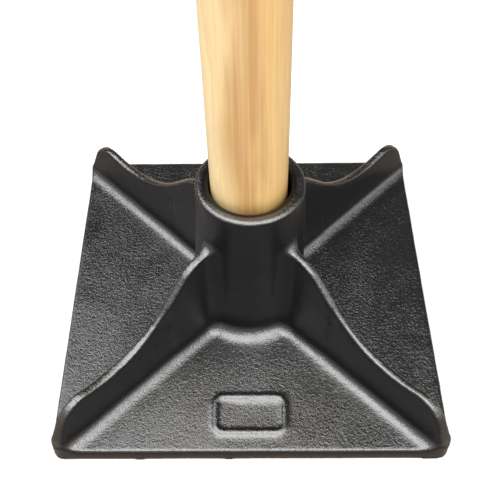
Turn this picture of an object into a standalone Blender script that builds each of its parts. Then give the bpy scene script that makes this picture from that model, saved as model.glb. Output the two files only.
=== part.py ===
"""Hand tamper: a square cast-iron head with a socket and four ribs, and a wedged wood handle.

The frame is in metres, +Z up. The origin is the centre of the sole, the flat underside of the head.
The panel with the raised blank mark faces -Y.
"""

import math

import bmesh
import bpy
from mathutils import Matrix

MM = 0.001
GAP = 0.3 * MM  # clearance left between pieces that touch
MERGE = 0.05 * MM  # merge distance of the modifiers, far below every detail

# Plate
PLATE_SIDE = 203.2 * MM  # 8 inches
PLATE_THICKNESS = 9.5 * MM
PLATE_CORNER = 6 * MM
PLATE_DRAFT = 0.2 * MM  # how far each side leans in from the sole to the top
PLATE_EDGE = 0.7 * MM

# Socket: its rim has a crest, with a short fall outwards and a conical mouth inwards
SOCKET_X = 0.5 * MM  # the cored socket stands a little off the plate's centre
SOCKET_RADIUS_TOP = 27.7 * MM
SOCKET_RADIUS_FOOT = 30.9 * MM
SOCKET_FOOT_FILLET = 9.5 * MM
RIM_CREST_RADIUS = 25 * MM
RIM_CREST_Z = 100.9 * MM
RIM_FALL = 0.27  # fall of the rim per unit of radius, outside its crest
RIM_OUTER_ROUND = 1.8 * MM
MOUTH_Z = 98.8 * MM  # where the conical mouth meets the bore
SOCKET_STEPS = 56

# Bore: narrowest at the waist and wider at both ends, so that the wedged handle cannot pull out
BORE_RADIUS_MOUTH = 20.9 * MM
BORE_RADIUS_WAIST = 20.4 * MM
BORE_RADIUS_SOLE = 22 * MM
BORE_WAIST_Z = 42 * MM

# Ribs, drawn in the plane of the diagonal: r runs from the plate's centre to its corner.
# The top edge is a shoulder, a straight 45 degree run, a hollow arc, a round nose and the end face.
RIB_START_R = 23.5 * MM
RIB_SHOULDER_Z = 72 * MM
RIB_SHOULDER_ROUND = 18 * MM
RIB_HOLLOW_RADIUS = 60 * MM
RIB_HOLLOW_R = 102.9 * MM
RIB_HOLLOW_Z = 95.8 * MM
RIB_NOSE_RADIUS = 16 * MM
RIB_END_R = 140.6 * MM  # foot of the end face on the plate
RIB_END_SLOPE = math.radians(69)
RIB_HALF_WIDTH_FOOT = 4.6 * MM
RIB_HALF_WIDTH_TOP = 2.3 * MM
RIB_TOP_ROUND = 1.2 * MM
RIB_FOOT_FILLET = 6.5 * MM
RIB_SOCKET_FILLET = 5 * MM
RIB_FLARE_FADE = 12 * MM  # the fillet onto the socket fades out over this height below the shoulder
DIAGONAL = math.sqrt(0.5)

# Raised blank panel on the front of the plate
MARK_WIDTH = 39 * MM
MARK_DEPTH = 23 * MM
MARK_ROUND = 6 * MM
MARK_RIM = 3 * MM
MARK_HEIGHT = 1.3 * MM
MARK_Y = -80.5 * MM

# Handle
HANDLE_RADIUS = 19.3 * MM  # nominally 1 1/2 inches across, with its varnish
HANDLE_LENGTH = 1066.8 * MM  # 42 inches
HANDLE_FOOT_Z = 2 * MM
HANDLE_TOP_ROUND = 9 * MM
HANDLE_LEAN = math.radians(1)  # towards -X, as the bore and the wedges have left it
HANDLE_CENTRE_Z = 95 * MM  # height at which the leaning axis crosses the plate's centre line
HANDLE_STEPS = 56

# Wedges
KERF_HEIGHT = 60 * MM
KERF_TIP = 1.4 * MM
WOOD_WEDGE_HEIGHT = 46 * MM
WOOD_WEDGE_FOOT = (41.8 * MM, 5 * MM)  # width and thickness
WOOD_WEDGE_TIP = (37.6 * MM, 1.2 * MM)
STEEL_WEDGE_HEIGHT = 28 * MM
STEEL_WEDGE_FOOT = (20 * MM, 3.2 * MM)
STEEL_WEDGE_TIP = (20 * MM, 0.8 * MM)


# ---------------------------------------------------------------- scene and small helpers

def clear_scene():
    for obj in list(bpy.data.objects):
        bpy.data.objects.remove(obj, do_unlink=True)


def make_collection(name):
    collection = bpy.data.collections.new(name)
    bpy.context.scene.collection.children.link(collection)
    return collection


def make_material(name, colour, roughness, metallic):
    material = bpy.data.materials.new(name)
    material.use_nodes = True
    shader = material.node_tree.nodes["Principled BSDF"]
    shader.inputs["Base Color"].default_value = (*colour, 1)
    shader.inputs["Roughness"].default_value = roughness
    shader.inputs["Metallic"].default_value = metallic
    return material


def mesh_object(name, bm, collection):
    """Object made from a bmesh, with its faces turned outward."""
    bmesh.ops.recalc_face_normals(bm, faces=bm.faces)
    mesh = bpy.data.meshes.new(name)
    bm.to_mesh(mesh)
    bm.free()
    obj = bpy.data.objects.new(name, mesh)
    collection.objects.link(obj)
    return obj


def mark_as_tool(obj):
    """A solid that is only joined to a piece or cut from it."""
    obj.hide_render = True
    obj.display_type = "WIRE"
    return obj


def arc(centre, radius, start, end, steps):
    """Points of a circular arc, with angles in degrees."""
    points = []
    for i in range(steps + 1):
        angle = math.radians(start + (end - start) * i / steps)
        points.append((centre[0] + radius * math.cos(angle), centre[1] + radius * math.sin(angle)))
    return points


def turned(name, profile, steps, collection):
    """Solid turned about Z from a profile of (radius, z) points that runs down its outer side."""
    bm = bmesh.new()
    verts = [bm.verts.new((radius, 0, z)) for radius, z in profile]
    for first, second in zip(verts, verts[1:]):
        bm.edges.new((first, second))
    mesh = bpy.data.meshes.new(name)
    bm.to_mesh(mesh)
    bm.free()
    obj = bpy.data.objects.new(name, mesh)
    collection.objects.link(obj)
    screw = obj.modifiers.new("turn", "SCREW")
    screw.steps = steps
    screw.render_steps = steps
    screw.use_merge_vertices = True
    screw.merge_threshold = MERGE
    return obj


def boolean(obj, tool, operation):
    modifier = obj.modifiers.new(operation.lower() + "_" + tool.name, "BOOLEAN")
    modifier.operation = operation
    modifier.object = tool
    return modifier


def smooth(obj, angle):
    """Smooth shading that keeps the edges sharper than the angle, in degrees."""
    obj.data.shade_smooth()
    obj.data.set_sharp_from_angle(angle=math.radians(angle))


def prism(name, side_x, side_y, low, high, corner, lean, collection):
    """Upright rounded block whose sides lean in by lean from bottom to top."""
    bm = bmesh.new()
    bmesh.ops.create_cube(bm, size=1)
    bmesh.ops.scale(bm, vec=(side_x, side_y, high - low), verts=bm.verts)
    bmesh.ops.translate(bm, vec=(0, 0, (low + high) / 2), verts=bm.verts)
    for vert in bm.verts:
        if vert.co.z > low + (high - low) / 2:
            vert.co.x -= math.copysign(lean, vert.co.x)
            vert.co.y -= math.copysign(lean, vert.co.y)
    upright = [edge for edge in bm.edges if abs(edge.verts[0].co.z - edge.verts[1].co.z) > MERGE]
    bmesh.ops.bevel(bm, geom=upright, offset=corner, segments=6, profile=0.5, affect="EDGES")
    return mesh_object(name, bm, collection)


def wedge(name, foot, tip, height, low, collection):
    """Wedge standing on its thick end; foot and tip are its (width along X, thickness along Y)."""
    bm = bmesh.new()
    bmesh.ops.create_cube(bm, size=1)
    for vert in bm.verts:
        above = vert.co.z > 0
        width, thickness = tip if above else foot
        vert.co.x *= width
        vert.co.y *= thickness
        vert.co.z = low + (height if above else 0)
    return mesh_object(name, bm, collection)


def lean_offset():
    """How far towards +X the leaning handle's axis is at the sole."""
    return HANDLE_CENTRE_Z * math.tan(HANDLE_LEAN)


# ---------------------------------------------------------------- head

def nose_centre():
    """Centre (r, z) of the nose, which touches the hollow arc and the end face."""
    out = math.sin(RIB_END_SLOPE)
    up = math.cos(RIB_END_SLOPE)
    away = (RIB_HOLLOW_R - RIB_END_R) * out + (RIB_HOLLOW_Z - PLATE_THICKNESS) * up + RIB_NOSE_RADIUS
    along = math.sqrt((RIB_HOLLOW_RADIUS + RIB_NOSE_RADIUS) ** 2 - away ** 2)
    return RIB_HOLLOW_R - away * out + along * up, RIB_HOLLOW_Z - away * up - along * out


def rib_top_edge():
    """Points (r, z) of the rib's top edge, from the socket to the foot of the end face."""
    foot_r = SOCKET_RADIUS_TOP + RIB_SOCKET_FILLET
    fillet_z = RIB_SHOULDER_Z + RIB_SOCKET_FILLET
    points = [(RIB_START_R, fillet_z)]
    points += arc((foot_r + MM, fillet_z), RIB_SOCKET_FILLET, 180, 270, 4)
    hollow = (RIB_HOLLOW_R, RIB_HOLLOW_Z)
    corner_r = RIB_HOLLOW_R + RIB_HOLLOW_Z - RIB_HOLLOW_RADIUS / DIAGONAL - RIB_SHOULDER_Z
    tangent = RIB_SHOULDER_ROUND * math.tan(math.radians(22.5))
    shoulder = (corner_r - tangent, RIB_SHOULDER_Z - RIB_SHOULDER_ROUND)
    points += arc(shoulder, RIB_SHOULDER_ROUND, 90, 45, 5)
    nose = nose_centre()
    reach = RIB_HOLLOW_RADIUS + RIB_NOSE_RADIUS
    nose_angle = math.degrees(math.asin((nose[0] - RIB_HOLLOW_R) / reach))
    points += arc(hollow, RIB_HOLLOW_RADIUS, 225, 270 + nose_angle, 12)
    points += arc(nose, RIB_NOSE_RADIUS, 90 + nose_angle, 90 - math.degrees(RIB_END_SLOPE), 7)[1:]
    end_r, end_z = points[-1]
    for part in (0.35, 0.7, 0.96):
        z = end_z + (PLATE_THICKNESS - end_z) * part
        points.append((end_r + (end_z - z) / math.tan(RIB_END_SLOPE), z))
    return points


def rib_section(r, top):
    """Right half of a rib's section at r: foot fillet, leaning side and rounded top edge."""
    height = top - PLATE_THICKNESS
    fillet = min(RIB_FOOT_FILLET, 0.5 * height)
    rounding = min(RIB_TOP_ROUND, 0.4 * height)
    beyond = max(0.0, SOCKET_RADIUS_FOOT + RIB_SOCKET_FILLET - MM - r)
    beyond = min(beyond, RIB_SOCKET_FILLET)
    flare = RIB_SOCKET_FILLET - math.sqrt(RIB_SOCKET_FILLET ** 2 - beyond ** 2)

    def side(z):
        fade = min(1, max(0, (RIB_SHOULDER_Z - z) / RIB_FLARE_FADE))
        lean = (RIB_HALF_WIDTH_FOOT - RIB_HALF_WIDTH_TOP) * (z - PLATE_THICKNESS) / height
        return RIB_HALF_WIDTH_FOOT - lean + flare * fade

    sunk = PLATE_THICKNESS / 2
    half = [(side(PLATE_THICKNESS) + fillet, sunk)]
    for y, z in arc((fillet, fillet), fillet, 268, 180, 4):
        z += PLATE_THICKNESS
        half.append((side(z) + y, z))
    edge_z = top - rounding
    edge_y = side(edge_z) - rounding
    half += arc((edge_y, edge_z), rounding, 0, 90, 3)
    return half


def make_rib(name, angle, collection):
    """Rib lofted along the diagonal at the given angle, in degrees from +X."""
    bm = bmesh.new()
    rings = []
    for r, top in rib_top_edge():
        half = rib_section(r, top)
        outline = half + [(-y, z) for y, z in reversed(half)]
        rings.append([bm.verts.new((r, y, z)) for y, z in outline])
    for ring, following in zip(rings, rings[1:]):
        for i in range(len(ring)):
            j = (i + 1) % len(ring)
            bm.faces.new((ring[i], ring[j], following[j], following[i]))
    bm.faces.new(rings[0])
    bm.faces.new(rings[-1])
    bmesh.ops.rotate(bm, cent=(0, 0, 0), matrix=Matrix.Rotation(math.radians(angle), 3, "Z"), verts=bm.verts)
    return mark_as_tool(mesh_object(name, bm, collection))


def rim_height(radius):
    """Height of the rim's outward fall at a radius from the socket's axis."""
    return RIM_CREST_Z - RIM_FALL * (radius - RIM_CREST_RADIUS)


def make_socket(collection):
    """Round socket, still solid: rim, leaning wall and the fillet onto the plate."""
    round_centre = SOCKET_RADIUS_TOP - RIM_OUTER_ROUND
    fall = math.degrees(math.atan(RIM_FALL))
    start_r = round_centre + RIM_OUTER_ROUND * math.sin(math.radians(fall))
    centre_z = rim_height(start_r) - RIM_OUTER_ROUND * math.cos(math.radians(fall))
    profile = [(0, RIM_CREST_Z), (RIM_CREST_RADIUS, RIM_CREST_Z)]
    profile += arc((round_centre, centre_z), RIM_OUTER_ROUND, 90 - fall, 0, 4)
    fillet = SOCKET_FOOT_FILLET
    profile += arc((SOCKET_RADIUS_FOOT + fillet, PLATE_THICKNESS + fillet), fillet, 180, 268, 7)
    profile.append((SOCKET_RADIUS_FOOT + fillet, PLATE_THICKNESS / 2))
    profile.append((0, PLATE_THICKNESS / 2))
    socket = turned("socket_body", profile, SOCKET_STEPS, collection)
    socket.location.x = SOCKET_X
    return mark_as_tool(socket)


def make_bore(collection):
    """Cutter for the bore and its conical mouth, leaning with the handle."""
    above = RIM_CREST_Z + 2 * MM
    widening = (RIM_CREST_RADIUS - BORE_RADIUS_MOUTH) / (RIM_CREST_Z - MOUTH_Z)
    mouth_radius = BORE_RADIUS_MOUTH + widening * (above - MOUTH_Z)
    profile = [(0, above), (mouth_radius, above), (BORE_RADIUS_MOUTH, MOUTH_Z)]
    profile.append((BORE_RADIUS_WAIST, BORE_WAIST_Z))
    profile.append((BORE_RADIUS_SOLE, -MM))
    profile.append((0, -MM))
    bore = turned("bore_cutter", profile, SOCKET_STEPS, collection)
    bore.location.x = SOCKET_X + lean_offset()
    bore.rotation_euler.y = -HANDLE_LEAN
    return mark_as_tool(bore)


def make_mark(collection):
    """Raised rounded border with a plain field, standing where a foundry puts its mark."""
    top = PLATE_THICKNESS + MARK_HEIGHT
    border = prism("mark_border", MARK_WIDTH, MARK_DEPTH, PLATE_THICKNESS / 2, top,
                   MARK_ROUND, 0.4 * MM, collection)
    field = prism("mark_field", MARK_WIDTH - 2 * MARK_RIM, MARK_DEPTH - 2 * MARK_RIM,
                  PLATE_THICKNESS + 0.2 * MM, top + MM, MARK_ROUND - MARK_RIM, 0, collection)
    for obj in (border, field):
        obj.location.y = MARK_Y
        mark_as_tool(obj)
    boolean(border, field, "DIFFERENCE")
    return border


def make_head(collection, tools, material):
    head = prism("tamper_head", PLATE_SIDE, PLATE_SIDE, 0, PLATE_THICKNESS, PLATE_CORNER,
                 PLATE_DRAFT, collection)
    bevel = head.modifiers.new("edge_round", "BEVEL")
    bevel.width = PLATE_EDGE
    bevel.segments = 2
    bevel.limit_method = "ANGLE"
    bevel.angle_limit = math.radians(60)
    boolean(head, make_socket(tools), "UNION")
    reach = prism("plate_outline", PLATE_SIDE, PLATE_SIDE, -MM, RIM_CREST_Z, PLATE_CORNER,
                  PLATE_DRAFT * RIM_CREST_Z / PLATE_THICKNESS, tools)
    mark_as_tool(reach)
    for number, angle in enumerate((45, 135, 225, 315), 1):
        rib = make_rib("rib_%d" % number, angle, tools)
        boolean(rib, reach, "INTERSECT")
        boolean(head, rib, "UNION")
    boolean(head, make_mark(tools), "UNION")
    boolean(head, make_bore(tools), "DIFFERENCE")
    head.data.materials.append(material)
    smooth(head, 40)
    return head


# ---------------------------------------------------------------- handle and wedges

def make_handle_axis(collection):
    """Empty at the sole that carries the handle and its wedges and leans with them."""
    axis = bpy.data.objects.new("handle_axis", None)
    axis.location.x = lean_offset()
    axis.rotation_euler.y = -HANDLE_LEAN
    collection.objects.link(axis)
    return axis


def make_handle(collection, material):
    """Turned pole: rounded top, straight shaft, and the foot spread to fill the bore."""
    top = HANDLE_FOOT_Z + HANDLE_LENGTH
    rounding = HANDLE_TOP_ROUND
    profile = [(0, top)]
    profile += arc((HANDLE_RADIUS - rounding, top - rounding), rounding, 90, 0, 6)
    profile.append((HANDLE_RADIUS, BORE_WAIST_Z))
    spread = BORE_RADIUS_SOLE - BORE_RADIUS_WAIST
    bore_radius = BORE_RADIUS_WAIST + spread * (1 - HANDLE_FOOT_Z / BORE_WAIST_Z)
    foot_radius = bore_radius - SOCKET_X - 1.4 * GAP
    profile.append((foot_radius, HANDLE_FOOT_Z))
    profile.append((0, HANDLE_FOOT_Z))
    handle = turned("handle", profile, HANDLE_STEPS, collection)
    handle.data.materials.append(material)
    smooth(handle, 40)
    return handle


def make_wedges(collection, tools, handle, wood, steel):
    """Wood wedge in the handle's kerf, and the steel wedge driven across it."""
    low = HANDLE_FOOT_Z
    slope = (WOOD_WEDGE_FOOT[1] - WOOD_WEDGE_TIP[1]) / WOOD_WEDGE_HEIGHT
    kerf_height = KERF_HEIGHT + MM
    across = 3 * HANDLE_RADIUS
    kerf = wedge("kerf", (across, KERF_TIP + slope * kerf_height + GAP), (across, KERF_TIP),
                 kerf_height, low - MM, tools)
    boolean(handle, mark_as_tool(kerf), "DIFFERENCE")
    wood_wedge = wedge("wood_wedge", WOOD_WEDGE_FOOT, WOOD_WEDGE_TIP, WOOD_WEDGE_HEIGHT, low, collection)
    around = 2 * GAP
    slot = wedge("steel_wedge_slot", [size + around for size in STEEL_WEDGE_FOOT],
                 [size + around for size in STEEL_WEDGE_TIP], STEEL_WEDGE_HEIGHT + MM + GAP, low - MM, tools)
    mark_as_tool(slot)
    steel_wedge = wedge("steel_wedge", STEEL_WEDGE_FOOT, STEEL_WEDGE_TIP, STEEL_WEDGE_HEIGHT, low, collection)
    for obj in (slot, steel_wedge):
        obj.rotation_euler.z = math.radians(90)
    boolean(handle, slot, "DIFFERENCE")
    boolean(wood_wedge, slot, "DIFFERENCE")
    axis = make_handle_axis(collection)
    for obj in (handle, kerf, slot, wood_wedge, steel_wedge):
        obj.parent = axis
    wood_wedge.data.materials.append(wood)
    steel_wedge.data.materials.append(steel)


def main():
    clear_scene()
    parts = make_collection("hand_tamper")
    tools = make_collection("cutters")
    black_iron = make_material("black_painted_iron", (0.018, 0.019, 0.021), 0.38, 0.0)
    pale_wood = make_material("varnished_wood", (0.80, 0.58, 0.29), 0.4, 0.0)
    wedge_wood = make_material("wedge_wood", (0.52, 0.33, 0.16), 0.6, 0.0)
    steel = make_material("wedge_steel", (0.45, 0.45, 0.46), 0.4, 1.0)
    make_head(parts, tools, black_iron)
    handle = make_handle(parts, pale_wood)
    make_wedges(parts, tools, handle, wedge_wood, steel)


main()
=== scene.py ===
"""Looks of the hand tamper: painted sand casting, varnished pole, wedges, studio and camera."""

import math

import bmesh
import bpy
import numpy as np
import openvdb
from mathutils import Matrix, Vector


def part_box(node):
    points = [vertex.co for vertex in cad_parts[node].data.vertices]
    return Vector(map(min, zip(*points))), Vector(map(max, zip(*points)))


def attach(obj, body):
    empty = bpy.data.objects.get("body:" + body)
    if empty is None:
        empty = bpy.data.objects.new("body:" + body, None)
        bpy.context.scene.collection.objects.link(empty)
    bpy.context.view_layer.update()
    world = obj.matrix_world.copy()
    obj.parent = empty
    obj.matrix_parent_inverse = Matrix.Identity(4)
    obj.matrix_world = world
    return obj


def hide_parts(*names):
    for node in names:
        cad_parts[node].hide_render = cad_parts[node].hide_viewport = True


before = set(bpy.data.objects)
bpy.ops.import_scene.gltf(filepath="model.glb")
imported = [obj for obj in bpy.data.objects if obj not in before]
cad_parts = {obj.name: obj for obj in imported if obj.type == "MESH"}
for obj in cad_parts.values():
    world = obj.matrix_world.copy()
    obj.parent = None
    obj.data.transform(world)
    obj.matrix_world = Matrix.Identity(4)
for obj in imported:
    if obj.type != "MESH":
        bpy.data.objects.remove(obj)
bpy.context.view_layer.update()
ROOT = "root"
MM = 1000.0  # millimetres in a metre


def box_mm(node):
    """Low and high corners of a CAD node's box, in millimetres."""
    return [[value * MM for value in corner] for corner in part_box(node)]


# ---------------------------------------------------------------- sizes, in millimetres
head_low, head_high = box_mm("tamper_head")
PLATE_HALF = head_high[0]
HEAD_TOP = head_high[2]
PLATE_TOP = 9.5
PLATE_CORNER = 6.0
PLATE_DRAFT = 0.02  # lean of the plate's sides, per unit of height
PLATE_EDGE = 0.7
SOLE_EDGE = 0.25

SOCKET_X = 0.5  # the socket stands a little off the plate's centre
SOCKET_RADIUS_TOP = 27.7
SOCKET_DRAFT = 0.0350
RIM_CREST_RADIUS = 25.0
RIM_CREST_ROUND = 2.8
RIM_FALL = 0.27  # fall of the rim per unit of radius, outside its crest
RIM_OUTER_ROUND = 2.2
RIM_INNER_ROUND = 1.5
MOUTH_Z = 99.9  # where the conical mouth meets the bore
BORE_MOUTH = 20.9
BORE_WAIST = 20.4
BORE_SOLE = 22.0
BORE_WAIST_Z = 42.0

SHOULDER_Z = 72.0
SHOULDER_ROUND = 6.0
SWEEP_RADIUS = 60.0  # the hollow arc of the rib's top edge, which a straight 45 degree run leads into
SWEEP_R = 102.9
SWEEP_Z = 95.8
NOSE_ROUND = 16.0
END_SLOPE = math.radians(69)
END_R = 140.6
RIB_FOOT_HALF = 4.6
RIB_TOP_HALF = 2.3
RIB_TOP_ROUND = 1.2
RIB_RISE_LIMIT = 1.2  # the sides go on drawing in to this share of the rib's height

SOCKET_FILLET = 9.5
RIB_FOOT_FILLET = 6.5
RIB_WALL_FILLET = 7.0
FILLET_FADE = (16.0, 30.0)  # heights between which the foot fillet turns into the wall fillet

MARK_HALF = (19.5, 11.5)
MARK_Y = -80.5
MARK_ROUND = 6.0
MARK_RIM = 2.8
MARK_HEIGHT = 1.2
MARK_EDGE = 0.7
MARK_FILLET = 0.9

POLE_TOP = box_mm("handle")[1][2]
POLE_RADIUS = 19.3
POLE_FOOT = 2.0
POLE_FOOT_RADIUS = 21.0
POLE_CHAMFER = 0.4
POLE_TAPER_STEPS = 10
POLE_TOP_ROUND = 9.0
POLE_TOP_STEPS = 12
POLE_RING_STEP = 8.0
POLE_SIDES = 144
POLE_UNEVEN = 0.05
POLE_UNEVEN_START = 20.0  # height above the rim over which the unevenness grows
POLE_LEAN = math.radians(1.0)
POLE_CENTRE_Z = 95.0  # the leaning axis crosses the plate's centre line at this height
SHARP_ANGLE = math.radians(50)
WEDGE_TIP = 0.6
SLOT_SPARE = 0.3

VOXEL = 1.0
GRID_MARGIN = 3  # voxels kept on each side of the surface
FLAT_MERGE = 0.004  # how freely flat areas are merged into larger faces
WAVE_SEED = 7
WAVE_SIZES = ((24.0, 0.16), (9.0, 0.09), (4.0, 0.045))  # wavelength and height of the casting's unevenness

# ---------------------------------------------------------------- looks, colours as 8-bit display values
# Painted light: one black paint in two colours, lighter where it faces up, darker and bluish on the walls
# and inside the socket's mouth as painted shade.
PAINT_SHADED_ON_WALLS = (13, 14, 17)
PAINT_LIT_ON_TOP = (20, 20, 19)
PAINT_IOR = 1.8
PAINT_BUMP = 0.00055
TOP_SHEEN = 0.88  # specular level gained where the paint faces up
WALL_SHEEN = 0.12
WALL_ROUGHER = 0.16
TOP_GRAIN = 0.62
WALL_GRAIN = 0.10
POOLED_GRAIN = -0.2  # change of the grain in the paint pooled along the ribs' feet
PEBBLE_SHARE = 0.75

# The pale colour of the pole's left side: sapwood, and also a painted highlight of light falling from the
# left.
SAPWOOD_AND_LEFT_HIGHLIGHT = (226, 199, 148)
HEARTWOOD = (176, 133, 76)
RIGHT_WOOD = (200, 161, 99)
RING_WOOD = (186, 146, 88)
STREAK_WOOD = (222, 194, 142)
FIBRE_WOOD = (160, 122, 74)
GRAIN_DRIFT = 22.0
GRAIN_STREAK = 3.0
RINGS_PER_MM = 0.9  # radians of ring figure for each millimetre across

# ---------------------------------------------------------------- studio, in metres
CAMERA_LENS = 58.5
CAMERA_SENSOR = 36
CAMERA_PLACE = Vector((-0.0034, -0.2748, 0.3957))
CAMERA_ELEVATION = math.radians(51.44)
CAMERA_TURN = math.radians(0.95)
CAMERA_ROLL = math.radians(-1.09)
CAMERA_SHIFT = (0.0318, -0.013)
CAMERA_CLIP = 0.01
WORLD_RAMP = (0.0, 0.4, 0.6, 0.08)  # strength from 0.6 in front to 0.08 behind, over that span of Y
FLOOR_SIZE = 12
FLOOR_COLOUR = (0.95, 0.95, 0.95, 1)
FLOOR_PAINTED_REFLECTION = (0.42, 0.35, 0.29, 1)  # the floor as the paint mirrors it, a painted reflection: brown to glossy rays, white to the camera
WHITE = (255, 255, 255)
# name, place, direction of its back, size, radiance, compass turn and colour
LIGHTS = (
    ("ceiling", (0.17, -1.11, 1.9), (0, 0, 1), (6.4, 2.54), 3.0, math.radians(-30), WHITE),
    ("fill", (1.75, -0.35, 0.40), (1.75, -0.35, 0.40), (1.0, 0.5), 1.4, math.radians(90), WHITE),
    ("rear_glow", (0, 2.5, 0.37), (0, 1, 0.15), (3.0, 0.4), 1.5, 0, (236, 214, 186)),
)


# ---------------------------------------------------------------- signed distance helpers
def join(a, b, radius):
    """Union with a round fillet."""
    u = np.maximum(radius - a, 0)
    v = np.maximum(radius - b, 0)
    return np.maximum(radius, np.minimum(a, b)) - np.sqrt(u * u + v * v)


def cut(a, b, radius):
    """Intersection with a rounded edge."""
    u = np.maximum(radius + a, 0)
    v = np.maximum(radius + b, 0)
    return np.minimum(-radius, np.maximum(a, b)) + np.sqrt(u * u + v * v)


def rounded_rectangle(x, y, half_x, half_y, corner):
    """Distance outside an upright prism with a rounded rectangle as its plan."""
    qx = np.abs(x) - (half_x - corner)
    qy = np.abs(y) - (half_y - corner)
    outside = np.sqrt(np.maximum(qx, 0) ** 2 + np.maximum(qy, 0) ** 2)
    return outside + np.minimum(np.maximum(qx, qy), 0) - corner


def wave(rng, axes, wavelength):
    """Smooth random field on the grid, made by cubic blending of a coarse random lattice."""
    weights = []
    counts = []
    for axis in axes:
        place = (axis - axis[0]) / wavelength
        cell = np.floor(place).astype(int)
        part = place - cell
        part = part * part * (3 - 2 * part)
        count = int(cell[-1]) + 2
        weight = np.zeros((len(axis), count), np.float32)
        rows = np.arange(len(axis))
        weight[rows, cell] = 1 - part
        weight[rows, cell + 1] = part
        weights.append(weight)
        counts.append(count)
    lattice = rng.uniform(-1, 1, counts).astype(np.float32)
    field = np.tensordot(weights[0], lattice, (1, 0))
    field = np.tensordot(field, weights[1], (1, 1))
    return np.tensordot(field, weights[2], (1, 1))


# ---------------------------------------------------------------- casting
def pole_axis_x(z):
    """Where the leaning pole's axis is at a height."""
    return (POLE_CENTRE_Z - z) * math.tan(POLE_LEAN)


def nose_centre():
    """Centre (r, z) of the nose's round, which touches the hollow arc and the end face."""
    out, up = math.sin(END_SLOPE), math.cos(END_SLOPE)
    away = (SWEEP_R - END_R) * out + (SWEEP_Z - PLATE_TOP) * up + NOSE_ROUND
    along = math.sqrt((SWEEP_RADIUS + NOSE_ROUND) ** 2 - away ** 2)
    return SWEEP_R - away * out + along * up, SWEEP_Z - away * up - along * out


def rib_outline(r, z):
    """Distance outside the rib's side view: shoulder, straight run, hollow arc, nose and end face."""
    dr = r - SWEEP_R
    dz = z - SWEEP_Z
    beside_run = dz > dr
    reach = np.where(beside_run, -(dr + dz) / math.sqrt(2), np.hypot(dr, dz))
    sweep = SWEEP_RADIUS - reach
    end = (r - END_R) * math.sin(END_SLOPE) + (z - PLATE_TOP) * math.cos(END_SLOPE)
    nose_r, nose_z = nose_centre()
    past_arc = (r - nose_r) * (SWEEP_Z - nose_z) + (z - nose_z) * (nose_r - SWEEP_R)
    past_end = (z - nose_z) * math.sin(END_SLOPE) - (r - nose_r) * math.cos(END_SLOPE)
    nose = np.hypot(r - nose_r, z - nose_z) - NOSE_ROUND
    outer = np.where((past_arc > 0) & (past_end > 0), nose, np.maximum(sweep, end))
    return cut(z - SHOULDER_Z, outer, SHOULDER_ROUND)


def rib_top(r):
    """Height of the rib's top edge, level beyond the nose's crest."""
    nose_z = nose_centre()[1]
    hollow = SWEEP_Z - np.sqrt(np.maximum(SWEEP_RADIUS ** 2 - (r - SWEEP_R) ** 2, 0))
    run = SWEEP_Z + SWEEP_R - SWEEP_RADIUS * math.sqrt(2) - r
    run_end = SWEEP_R - SWEEP_RADIUS / math.sqrt(2)
    top = np.minimum(SHOULDER_Z, np.where(r < run_end, run, hollow))
    return np.where(r > run_end, np.minimum(top, nose_z + NOSE_ROUND), top)


def rib_field(x, y, z, plan):
    """All four ribs at once: r runs along the nearer diagonal and s across it."""
    r = (np.abs(x) + np.abs(y)) / math.sqrt(2)
    s = (np.abs(x) - np.abs(y)) / math.sqrt(2)
    outline = rib_outline(r, z)
    rise = np.clip((z - PLATE_TOP) / (rib_top(r) - PLATE_TOP), 0, RIB_RISE_LIMIT)
    side = np.abs(s) - (RIB_FOOT_HALF + (RIB_TOP_HALF - RIB_FOOT_HALF) * rise)
    rib = cut(outline, side, RIB_TOP_ROUND)
    return cut(rib, plan, RIB_TOP_ROUND)


def rib_fillet(z):
    """Radius of the ribs' fillets: one along their feet, which fades into another up the socket's wall."""
    fade = np.clip((z - FILLET_FADE[0]) / (FILLET_FADE[1] - FILLET_FADE[0]), 0, 1)
    return RIB_FOOT_FILLET + (RIB_WALL_FILLET - RIB_FOOT_FILLET) * fade


def socket_field(x, y, z):
    """Solid tapered socket, with its rim falling outwards from the crest."""
    radius = np.hypot(x - SOCKET_X, y)
    wall = radius - (SOCKET_RADIUS_TOP + SOCKET_DRAFT * (HEAD_TOP - z))
    fall = RIM_FALL * (radius - RIM_CREST_RADIUS)
    return cut(wall, (z - HEAD_TOP + fall) / math.hypot(1, RIM_FALL), RIM_OUTER_ROUND)


def border_field(x, y, z):
    """Plain raised border on the panel in front of the socket."""
    outside = rounded_rectangle(x, y - MARK_Y, *MARK_HALF, MARK_ROUND)
    border = np.abs(outside + MARK_RIM / 2) - MARK_RIM / 2
    return cut(border, z - (PLATE_TOP + MARK_HEIGHT), MARK_EDGE)


def cut_bore(body, x, y, z):
    """Cuts the conical mouth and the through bore, which leans with the pole and narrows to a waist."""
    above = np.maximum(z - BORE_WAIST_Z, 0) / (HEAD_TOP - BORE_WAIST_Z)
    below = np.maximum(BORE_WAIST_Z - z, 0) / BORE_WAIST_Z
    bore = BORE_WAIST + (BORE_MOUTH - BORE_WAIST) * above + (BORE_SOLE - BORE_WAIST) * below
    edge = np.where(z > BORE_WAIST_Z, RIM_INNER_ROUND, SOLE_EDGE)
    radius = np.hypot(x - SOCKET_X - pole_axis_x(z), y)
    steep = (HEAD_TOP - MOUTH_Z) / (RIM_CREST_RADIUS - BORE_MOUTH)
    mouth = (z - MOUTH_Z - (radius - BORE_MOUTH) * steep) / math.hypot(1, steep)
    return cut(cut(body, mouth, RIM_CREST_ROUND), bore - radius, edge)


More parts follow.
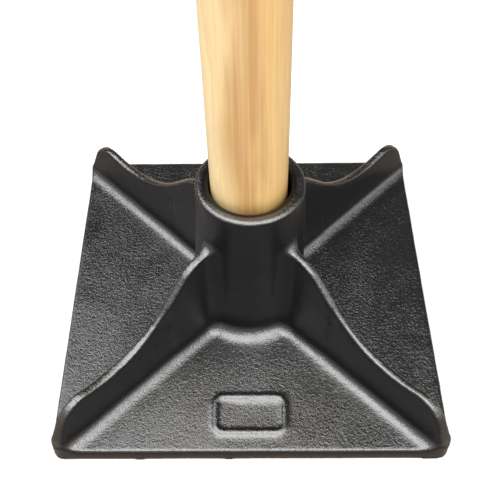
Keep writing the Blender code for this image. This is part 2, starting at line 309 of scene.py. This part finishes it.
def head_field(axes):
    """Distance outside the whole casting, on the grid."""
    x = axes[0][:, None, None]
    y = axes[1][None, :, None]
    z = axes[2][None, None, :]
    half = PLATE_HALF - PLATE_DRAFT * np.maximum(z, 0)
    plan = rounded_rectangle(x, y, half, half, PLATE_CORNER)
    plate = cut(plan, z - PLATE_TOP, PLATE_EDGE)
    body = join(plate, socket_field(x, y, z), SOCKET_FILLET)
    body = join(body, rib_field(x, y, z, plan), rib_fillet(z))
    body = join(body, border_field(x, y, z), MARK_FILLET)
    body = cut(body, plan, SOLE_EDGE)
    rng = np.random.default_rng(WAVE_SEED)
    for wavelength, height in WAVE_SIZES:
        body += height * wave(rng, axes, wavelength)
    return cut_bore(cut(body, -z, SOLE_EDGE), x, y, z)


def add_object(name, data):
    obj = bpy.data.objects.new(name, data)
    bpy.context.scene.collection.objects.link(obj)
    return obj


def mesh_from_field(name, field, origin):
    """Closed mesh on the zero level of a signed distance field sampled on a grid."""
    band = GRID_MARGIN * VOXEL
    grid = openvdb.FloatGrid(band)
    grid.copyFromArray(np.clip(field, -band, band).astype(np.float32))
    points, triangles, quads = grid.convertToPolygons(0.0, FLAT_MERGE)
    points = (points * VOXEL + origin) / MM
    mesh = bpy.data.meshes.new(name)
    mesh.vertices.add(len(points))
    mesh.vertices.foreach_set("co", points.astype(np.float32).ravel())
    corners = np.concatenate([triangles[:, ::-1].ravel(), quads[:, ::-1].ravel()]).astype(np.int32)
    totals = np.concatenate([np.full(len(triangles), 3), np.full(len(quads), 4)]).astype(np.int32)
    starts = (np.cumsum(totals) - totals).astype(np.int32)
    mesh.loops.add(len(corners))
    mesh.loops.foreach_set("vertex_index", corners)
    mesh.polygons.add(len(totals))
    mesh.polygons.foreach_set("loop_start", starts)
    mesh.update(calc_edges=True)
    mesh.validate()
    mesh.shade_smooth()
    return add_object(name, mesh)


def make_head():
    margin = GRID_MARGIN * VOXEL
    low = np.array([head_low[0], head_low[1], 0]) - margin
    high = np.array([head_high[0], head_high[1], HEAD_TOP]) + margin
    axes = [np.arange(a, b + VOXEL, VOXEL, dtype=np.float32) for a, b in zip(low, high)]
    return mesh_from_field("casting", head_field(axes), low)


# ---------------------------------------------------------------- pole
def pole_rings():
    """Radius and height of each ring: chamfered foot, taper to the waist, straight bar, rounded top."""
    foot_top = POLE_FOOT + POLE_CHAMFER
    rings = [(POLE_FOOT_RADIUS - POLE_CHAMFER, POLE_FOOT), (POLE_FOOT_RADIUS, foot_top)]
    for i in range(1, POLE_TAPER_STEPS + 1):
        part = i / POLE_TAPER_STEPS
        radius = POLE_FOOT_RADIUS + (POLE_RADIUS - POLE_FOOT_RADIUS) * part
        rings.append((radius, foot_top + (BORE_WAIST_Z - foot_top) * part))
    straight_top = POLE_TOP - POLE_TOP_ROUND
    count = int((straight_top - BORE_WAIST_Z) / POLE_RING_STEP)
    for i in range(1, count + 1):
        rings.append((POLE_RADIUS, BORE_WAIST_Z + (straight_top - BORE_WAIST_Z) * i / count))
    for i in range(1, POLE_TOP_STEPS + 1):
        angle = math.pi / 2 * i / POLE_TOP_STEPS
        radius = POLE_RADIUS - POLE_TOP_ROUND * (1 - math.cos(angle))
        rings.append((radius, straight_top + POLE_TOP_ROUND * math.sin(angle)))
    return rings


def add_ring(bm, radius, z):
    """One ring of the pole's vertices, slightly out of round above the socket."""
    ring = []
    growth = min(1, max(0, (z - HEAD_TOP) / POLE_UNEVEN_START))
    for k in range(POLE_SIDES):
        angle = 2 * math.pi * k / POLE_SIDES
        swell = POLE_UNEVEN * (math.sin(z / 61 + 2 * angle) + math.sin(z / 23 - 3 * angle + 1))
        reach = radius + swell * growth
        ring.append(bm.verts.new((reach * math.cos(angle) / MM, reach * math.sin(angle) / MM, z / MM)))
    return ring


def make_pole():
    """Turned pole, slotted at its foot for the two wedges, leaning in the bore."""
    bm = bmesh.new()
    rings = [add_ring(bm, radius, z) for radius, z in pole_rings()]
    for lower, upper in zip(rings, rings[1:]):
        for k in range(POLE_SIDES):
            following = (k + 1) % POLE_SIDES
            bm.faces.new((lower[k], lower[following], upper[following], upper[k]))
    bm.faces.new(list(reversed(rings[0])))
    bm.faces.new(rings[-1])
    mesh = bpy.data.meshes.new("pole")
    bm.to_mesh(mesh)
    bm.free()
    obj = add_object("pole", mesh)
    cut_slot(obj, "wood_wedge")
    cut_slot(obj, "steel_wedge")
    obj.data.shade_smooth()
    obj.data.set_sharp_from_angle(angle=SHARP_ANGLE)
    foot = Matrix.Translation((pole_axis_x(0) / MM, 0, 0))
    obj.matrix_world = foot @ Matrix.Rotation(-POLE_LEAN, 4, "Y")
    return obj


def slot_cutter(node):
    """Tapered block a little larger than a wedge. The wood wedge's slot runs right across the pole."""
    low, high = box_mm(node)
    bm = bmesh.new()
    bmesh.ops.create_cube(bm, size=2)
    for vert in bm.verts:
        x, y, z = vert.co
        if node == "steel_wedge":
            reach_x = WEDGE_TIP if z > 0 else (high[0] - low[0]) / 2
            reach_y = (high[1] - low[1]) / 2
        else:
            reach_x = 2 * POLE_RADIUS
            reach_y = WEDGE_TIP if z > 0 else (high[1] - low[1]) / 2
        end = high[2] + SLOT_SPARE if z > 0 else POLE_FOOT - 1
        vert.co = (x * (reach_x + SLOT_SPARE) / MM, y * (reach_y + SLOT_SPARE) / MM, end / MM)
    mesh = bpy.data.meshes.new("slot")
    bm.to_mesh(mesh)
    bm.free()
    return add_object("slot", mesh)


def cut_slot(obj, node):
    """Cuts a wedge's slot into the pole and applies the cut."""
    cutter = slot_cutter(node)
    modifier = obj.modifiers.new("slot", "BOOLEAN")
    modifier.operation = "DIFFERENCE"
    modifier.object = cutter
    bpy.context.view_layer.update()
    evaluated = obj.evaluated_get(bpy.context.evaluated_depsgraph_get())
    cut_mesh = bpy.data.meshes.new_from_object(evaluated)
    obj.modifiers.clear()
    obj.data = cut_mesh
    bpy.data.objects.remove(cutter, do_unlink=True)


# ---------------------------------------------------------------- materials
class Nodes:
    """Small helper that adds shader nodes and links them by value."""

    def __init__(self, material):
        material.use_nodes = True
        self.tree = material.node_tree
        self.shader = self.tree.nodes.get("Principled BSDF")

    def put(self, socket, value):
        if isinstance(value, bpy.types.NodeSocket):
            self.tree.links.new(value, socket)
        else:
            socket.default_value = value

    def set(self, name, value):
        """Sets or links an input of the material's shader."""
        self.put(self.shader.inputs[name], value)

    def add(self, kind, settings=None, **inputs):
        """Adds a node. Inputs are given by name, or as i0, i1 and so on by place."""
        node = self.tree.nodes.new("ShaderNode" + kind)
        for name, value in (settings or {}).items():
            setattr(node, name, value)
        for name, value in inputs.items():
            key = int(name[1:]) if name[0] == "i" and name[1:].isdigit() else name
            self.put(node.inputs[key], value)
        return node

    def math(self, operation, a, b=0.0, c=0.0):
        return self.add("Math", {"operation": operation}, i0=a, i1=b, i2=c).outputs[0]

    def noise(self, vector, scale, detail=2.0, roughness=0.5, distortion=0.0):
        node = self.add("TexNoise", None, Vector=vector, Scale=scale, Detail=detail,
                        Roughness=roughness, Distortion=distortion)
        return node.outputs["Fac"]

    def remap(self, value, low, high, to_low=0.0, to_high=1.0):
        node = self.add("MapRange", {"interpolation_type": "SMOOTHSTEP"}, i0=value, i1=low, i2=high,
                        i3=to_low, i4=to_high)
        return node.outputs[0]

    def blend(self, factor, a, b):
        node = self.add("Mix", {"data_type": "RGBA"})
        self.put(node.inputs[0], factor)
        self.put(node.inputs[6], a)
        self.put(node.inputs[7], b)
        return node.outputs[2]

    def stretched(self, scale):
        """Object coordinates in millimetres, divided by the given lengths."""
        place = self.add("TexCoord").outputs["Object"]
        return self.add("Mapping", None, Vector=place, Scale=[MM / s for s in scale]).outputs[0]

    def bump(self, height, strength, distance):
        return self.add("Bump", None, Height=height, Strength=strength, Distance=distance).outputs[0]


def rgb(red, green, blue):
    """Linear colour from an 8-bit display colour."""
    linear = []
    for value in (red, green, blue):
        value /= 255
        linear.append(value / 12.92 if value <= 0.04045 else ((value + 0.055) / 1.055) ** 2.4)
    return (*linear, 1)


def lit_upward_mask(n, x, y):
    """1 where the paint faces up, and little inside the socket's mouth: the mask that paints the tops lit
    and the walls and mouth in painted shade.
    """
    up = n.add("SeparateXYZ", None, Vector=n.add("NewGeometry").outputs["Normal"]).outputs["Z"]
    from_axis = n.math("SQRT", n.math("ADD", n.math("MULTIPLY", x, x), n.math("MULTIPLY", y, y)))
    return n.math("MULTIPLY", n.remap(up, 0.25, 0.85), n.remap(from_axis, 22.8, 24.4, 0.1, 1.0))


def pooled_mask(n, x, y):
    """1 in the strips beside the ribs' feet, measured across the nearer diagonal."""
    aside = n.math("SUBTRACT", n.math("ABSOLUTE", x), n.math("ABSOLUTE", y))
    aside = n.math("MULTIPLY", n.math("ABSOLUTE", aside), math.sqrt(0.5))
    return n.math("MULTIPLY", n.remap(aside, 8.5, 10.5), n.remap(aside, 12.0, 16.0, 1.0, 0.0))


def paint_material():
    """Semi-gloss black paint over a sand casting: pebbled where it faces up, smoother on the walls."""
    material = bpy.data.materials.new("black_painted_iron")
    n = Nodes(material)
    mm = n.stretched((1, 1, 1))
    place = n.add("SeparateXYZ", None, Vector=mm)
    lit_upward = lit_upward_mask(n, place.outputs["X"], place.outputs["Y"])
    on_wall = n.math("SUBTRACT", 1.0, lit_upward)
    pooled = pooled_mask(n, place.outputs["X"], place.outputs["Y"])
    pebble = n.noise(mm, 0.62, 3.0, 0.6, 0.9)
    fine = n.noise(mm, 2.2, 2.0, 0.6)
    blotch = n.noise(mm, 0.05, 3.0, 0.6)
    fine = n.math("MULTIPLY", fine, 1 - PEBBLE_SHARE)
    height = n.math("ADD", n.math("MULTIPLY", pebble, PEBBLE_SHARE), fine)
    strength = n.math("MULTIPLY_ADD", lit_upward, TOP_GRAIN, WALL_GRAIN)
    strength = n.math("MULTIPLY", strength, n.remap(blotch, 0.3, 0.7, 0.75, 1.15))
    strength = n.math("MULTIPLY", strength, n.math("MULTIPLY_ADD", pooled, POOLED_GRAIN, 1.0))
    polish = n.remap(n.noise(mm, 0.3, 3.0), 0.3, 0.7, 0.13, 0.2)
    # Painted light and shade: a lighter colour where the paint faces up, a darker one on the walls and in
    # the mouth.
    n.set("Base Color", n.blend(lit_upward, rgb(*PAINT_SHADED_ON_WALLS), rgb(*PAINT_LIT_ON_TOP)))
    n.set("IOR", PAINT_IOR)
    n.set("Specular IOR Level", n.math("MULTIPLY_ADD", lit_upward, TOP_SHEEN, WALL_SHEEN))
    n.set("Roughness", n.math("MULTIPLY_ADD", on_wall, WALL_ROUGHER, polish))
    n.set("Normal", n.bump(height, strength, PAINT_BUMP))
    return material


def wood_material():
    """Clear varnish over pale hardwood: sapwood and a painted highlight on the left side, warmer heartwood
    and ring figure beside it.
    """
    material = bpy.data.materials.new("varnished_wood")
    n = Nodes(material)
    fibre = n.noise(n.stretched((0.5, 0.5, 26)), 1.0, 4.0, 0.6)
    streaks = n.noise(n.stretched((1.6, 1.6, 120)), 1.0, 3.0, 0.55, 0.3)
    drift = n.noise(n.stretched((16, 16, 75)), 1.0, 2.0, 0.5, 0.6)
    across = n.add("SeparateXYZ", None, Vector=n.stretched((1, 1, 1))).outputs["X"]
    place = n.math("MULTIPLY_ADD", n.math("SUBTRACT", drift, 0.5), GRAIN_DRIFT, across)
    figure = n.math("ADD", place, n.math("MULTIPLY", streaks, GRAIN_STREAK))
    ring = n.math("SINE", n.math("MULTIPLY", figure, RINGS_PER_MM))
    # Painted highlight: the side towards -X is made pale, for sapwood and for light from the left.
    colour = n.blend(n.remap(place, -17.0, 1.0), rgb(*SAPWOOD_AND_LEFT_HIGHLIGHT), rgb(*HEARTWOOD))
    colour = n.blend(n.remap(place, 2.0, 10.0), colour, rgb(*RIGHT_WOOD))
    colour = n.blend(n.remap(ring, 0.2, 1.0, 0.0, 0.20), colour, rgb(*RING_WOOD))
    colour = n.blend(n.remap(streaks, 0.4, 0.7, 0.0, 0.24), colour, rgb(*STREAK_WOOD))
    colour = n.blend(n.remap(fibre, 0.45, 0.7, 0.0, 0.16), colour, rgb(*FIBRE_WOOD))
    n.set("Base Color", colour)
    n.set("Roughness", n.remap(fibre, 0.3, 0.7, 0.38, 0.5))
    n.set("Coat Weight", 0.35)
    n.set("Coat Roughness", 0.22)
    n.set("Normal", n.bump(fibre, 0.12, 0.0002))
    return material


def wedge_wood_material():
    material = bpy.data.materials.new("wedge_wood")
    n = Nodes(material)
    fibre = n.noise(n.stretched((0.4, 0.4, 9)), 1.0, 4.0, 0.65)
    n.set("Base Color", n.blend(n.remap(fibre, 0.3, 0.7), rgb(150, 105, 62), rgb(196, 150, 98)))
    n.set("Roughness", 0.7)
    n.set("Normal", n.bump(fibre, 0.4, 0.0002))
    return material


def wedge_steel_material():
    material = bpy.data.materials.new("wedge_steel")
    n = Nodes(material)
    scale = n.noise(n.stretched((1.2, 1.2, 1.2)), 1.0, 4.0, 0.6)
    n.set("Base Color", n.blend(n.remap(scale, 0.35, 0.7), rgb(150, 150, 152), rgb(108, 96, 86)))
    n.set("Metallic", 1.0)
    n.set("Roughness", n.remap(scale, 0.3, 0.7, 0.3, 0.55))
    n.set("Normal", n.bump(scale, 0.3, 0.0001))
    return material


# ---------------------------------------------------------------- studio
def make_floor():
    bpy.ops.mesh.primitive_plane_add(size=FLOOR_SIZE)
    floor = bpy.context.object
    floor.name = "floor"
    material = bpy.data.materials.new("floor")
    n = Nodes(material)
    n.set("Roughness", 0.9)
    n.set("Specular IOR Level", 0.1)
    mirrored = n.add("LightPath").outputs["Is Glossy Ray"]
    # Painted reflection: glossy rays see the floor in a brown colour, the camera sees it white.
    n.set("Base Color", n.blend(mirrored, FLOOR_COLOUR, FLOOR_PAINTED_REFLECTION))
    floor.data.materials.append(material)


def make_light(name, place, back, size, radiance, turn, colour):
    """Soft rectangular light with its back towards a direction and its first side along a compass turn."""
    data = bpy.data.lights.new(name, "AREA")
    data.shape = "RECTANGLE"
    data.size, data.size_y = size
    data.energy = radiance * math.pi * size[0] * size[1]
    data.color = rgb(*colour)[:3]
    light = add_object(name, data)
    back = Vector(back).normalized()
    across = back.cross(Vector((math.cos(turn), math.sin(turn), 0))).normalized()
    aim = Matrix((across.cross(back), across, back)).transposed().to_4x4()
    light.matrix_world = Matrix.Translation(place) @ aim


def make_world():
    """White surroundings, brighter in front of the object than behind it."""
    world = bpy.data.worlds.new("studio")
    bpy.context.scene.world = world
    world.use_nodes = True
    world.cycles.sampling_method = "NONE"
    tree = world.node_tree
    place = tree.nodes.new("ShaderNodeTexCoord")
    split = tree.nodes.new("ShaderNodeSeparateXYZ")
    ramp = tree.nodes.new("ShaderNodeMapRange")
    ramp.interpolation_type = "SMOOTHSTEP"
    for name, value in zip(("From Min", "From Max", "To Min", "To Max"), WORLD_RAMP):
        ramp.inputs[name].default_value = value
    tree.links.new(place.outputs["Generated"], split.inputs[0])
    tree.links.new(split.outputs["Y"], ramp.inputs["Value"])
    tree.links.new(ramp.outputs[0], tree.nodes["Background"].inputs["Strength"])
    tree.nodes["Background"].inputs["Color"].default_value = (1, 1, 1, 1)


def make_camera():
    camera = add_object("camera", bpy.data.cameras.new("camera"))
    camera.data.sensor_width = CAMERA_SENSOR
    camera.data.lens = CAMERA_LENS
    turn = Matrix.Rotation(CAMERA_TURN, 4, "Z")
    tilt = Matrix.Rotation(math.pi / 2 - CAMERA_ELEVATION, 4, "X")
    roll = Matrix.Rotation(CAMERA_ROLL, 4, "Z")
    camera.matrix_world = Matrix.Translation(CAMERA_PLACE) @ turn @ tilt @ roll
    camera.data.shift_x, camera.data.shift_y = CAMERA_SHIFT
    camera.data.clip_start = CAMERA_CLIP
    bpy.context.scene.camera = camera


def paint(obj, material):
    obj.data.materials.clear()
    obj.data.materials.append(material)


def dress(obj, node, material):
    """Gives a new piece its material, hides the CAD node it stands for and hangs it under the root."""
    paint(obj, material)
    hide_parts(node)
    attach(obj, ROOT)


def main():
    dress(make_head(), "tamper_head", paint_material())
    dress(make_pole(), "handle", wood_material())
    paint(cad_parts["wood_wedge"], wedge_wood_material())
    paint(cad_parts["steel_wedge"], wedge_steel_material())
    make_floor()
    make_world()
    for light in LIGHTS:
        make_light(*light)
    make_camera()
    bpy.context.scene.view_settings.view_transform = "Standard"
    bpy.context.scene.cycles.denoising_prefilter = "NONE"


main()
